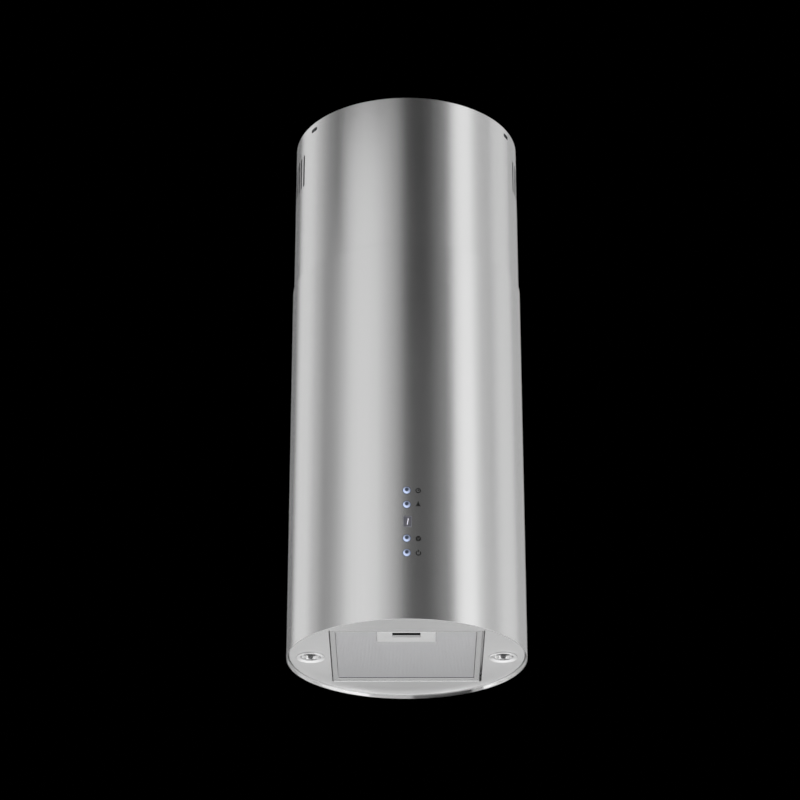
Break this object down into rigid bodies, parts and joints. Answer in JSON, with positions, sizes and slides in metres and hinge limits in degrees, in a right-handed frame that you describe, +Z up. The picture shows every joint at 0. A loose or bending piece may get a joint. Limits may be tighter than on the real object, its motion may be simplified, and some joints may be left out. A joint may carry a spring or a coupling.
{
  "type": "island range hood",
  "caption": "Cylindrical ceiling-hung island cooker hood: telescoping steel chimney, push-button panel, square tilt-down grease filter, lamps and an inner blower.",
  "frame": {"origin": "centre of the shell's bottom edge, on the cylinder's axis", "axes": "+Z up along the cylinder's axis, -Y towards the front with the buttons, +X to the right seen from the front"},
  "size_m": [0.38, 0.3808, 0.9194],
  "materials": {
    "shell_steel": "satin brushed along the height",
    "panel_steel": "fine satin",
    "galvanised_sheet": "galvanised",
    "filter_aluminium": "natural satin",
    "filter_mesh": "fine woven mesh",
    "bright_metal": "polished",
    "black_steel": "satin black",
    "black_plastic": "moulded",
    "white_plastic": "moulded",
    "display_pane": "clear tinted",
    "circuit_board": "solder mask",
    "rubber": "moulded"
  },
  "bodies": {
    "ceiling_frame": {"ceiling_plate": "galvanised_sheet", "upper_post_front_left": "galvanised_sheet", "upper_post_front_right": "galvanised_sheet", "upper_post_rear_left": "galvanised_sheet", "upper_post_rear_right": "galvanised_sheet"},
    "chimney": {"upper_chimney": "shell_steel"},
    "canopy": {"lower_shell": "shell_steel", "bottom_panel": "panel_steel", "mounting_ring": "galvanised_sheet", "chassis_rail_left": "galvanised_sheet", "chassis_rail_right": "galvanised_sheet", "lamp_bezel_left": "bright_metal", "lamp_bezel_right": "bright_metal", "lamp_left": "bright_metal", "lamp_right": "bright_metal", "lamp_can_left": "galvanised_sheet", "lamp_can_right": "galvanised_sheet", "lower_post_front_left": "galvanised_sheet", "lower_post_front_right": "galvanised_sheet", "lower_post_rear_left": "galvanised_sheet", "lower_post_rear_right": "galvanised_sheet", "post_bolt_front_left": "bright_metal", "post_bolt_front_right": "bright_metal", "post_bolt_rear_left": "bright_metal", "post_bolt_rear_right": "bright_metal", "tie_plate": "galvanised_sheet", "blower_scroll": "galvanised_sheet", "blower_side_left": "galvanised_sheet", "blower_side_right": "galvanised_sheet", "rubber_strip_left": "rubber", "rubber_strip_right": "rubber", "inlet_ring_left": "black_plastic", "inlet_ring_right": "black_plastic", "motor": "black_steel", "motor_bracket": "black_steel", "outlet_collar": "black_plastic", "electronics_box": "galvanised_sheet", "electronics_lid": "galvanised_sheet", "cable_gland": "black_plastic", "capacitor": "white_plastic", "lamp_lead_left": "black_plastic", "lamp_lead_right": "black_plastic", "control_lead": "black_plastic", "control_carrier": "black_plastic", "control_board": "circuit_board", "display_window": "display_pane"},
    "filter": {"filter_frame": "filter_aluminium", "filter_face_mesh": "filter_mesh", "filter_core": "filter_mesh", "filter_handle": "filter_aluminium"},
    "latch": {"filter_latch": "filter_aluminium"},
    "blower_wheel": {"impeller": "black_plastic", "motor_shaft": "bright_metal"},
    "left_flap": {"flap_left": "black_plastic"},
    "right_flap": {"flap_right": "black_plastic"},
    "timer_button": {"button_timer": "bright_metal"},
    "light_button": {"button_light": "bright_metal"},
    "fan_button": {"button_fan": "bright_metal"},
    "power_button": {"button_power": "bright_metal"}
  },
  "joints": [
    {"name": "height_adjust", "type": "slide", "parent": "ceiling_frame", "child": "canopy", "axis": [0, 0, 1], "range_m": [-0.1, 0.1]},
    {"name": "chimney_slide", "type": "slide", "parent": "ceiling_frame", "child": "chimney", "axis": [0, 0, -1], "range_m": [0, 0.12]},
    {"name": "filter_tilt", "type": "hinge", "parent": "canopy", "child": "filter", "pos_m": [0, 0.111, 0.013], "axis": [1, 0, 0], "range_deg": [0, 75]},
    {"name": "latch_slide", "type": "slide", "parent": "filter", "child": "latch", "axis": [0, 1, 0], "range_m": [0, 0.0045], "stiffness_N_per_m": 600},
    {"name": "blower_spin", "type": "hinge", "parent": "canopy", "child": "blower_wheel", "pos_m": [0, -0.035, 0.19], "axis": [1, 0, 0], "continuous": true},
    {"name": "left_flap_swing", "type": "hinge", "parent": "canopy", "child": "left_flap", "pos_m": [-0.0045, 0, 0.3801], "axis": [0, 1, 0], "range_deg": [0, 78]},
    {"name": "right_flap_swing", "type": "hinge", "parent": "canopy", "child": "right_flap", "pos_m": [0.0045, 0, 0.3801], "axis": [0, -1, 0], "range_deg": [0, 78]},
    {"name": "timer_press", "type": "slide", "parent": "canopy", "child": "timer_button", "axis": [0, 1, 0], "range_m": [0, 0.0012], "stiffness_N_per_m": 800},
    {"name": "light_press", "type": "slide", "parent": "canopy", "child": "light_button", "axis": [0, 1, 0], "range_m": [0, 0.0012], "stiffness_N_per_m": 800},
    {"name": "fan_press", "type": "slide", "parent": "canopy", "child": "fan_button", "axis": [0, 1, 0], "range_m": [0, 0.0012], "stiffness_N_per_m": 800},
    {"name": "power_press", "type": "slide", "parent": "canopy", "child": "power_button", "axis": [0, 1, 0], "range_m": [0, 0.0012], "stiffness_N_per_m": 800}
  ]
}
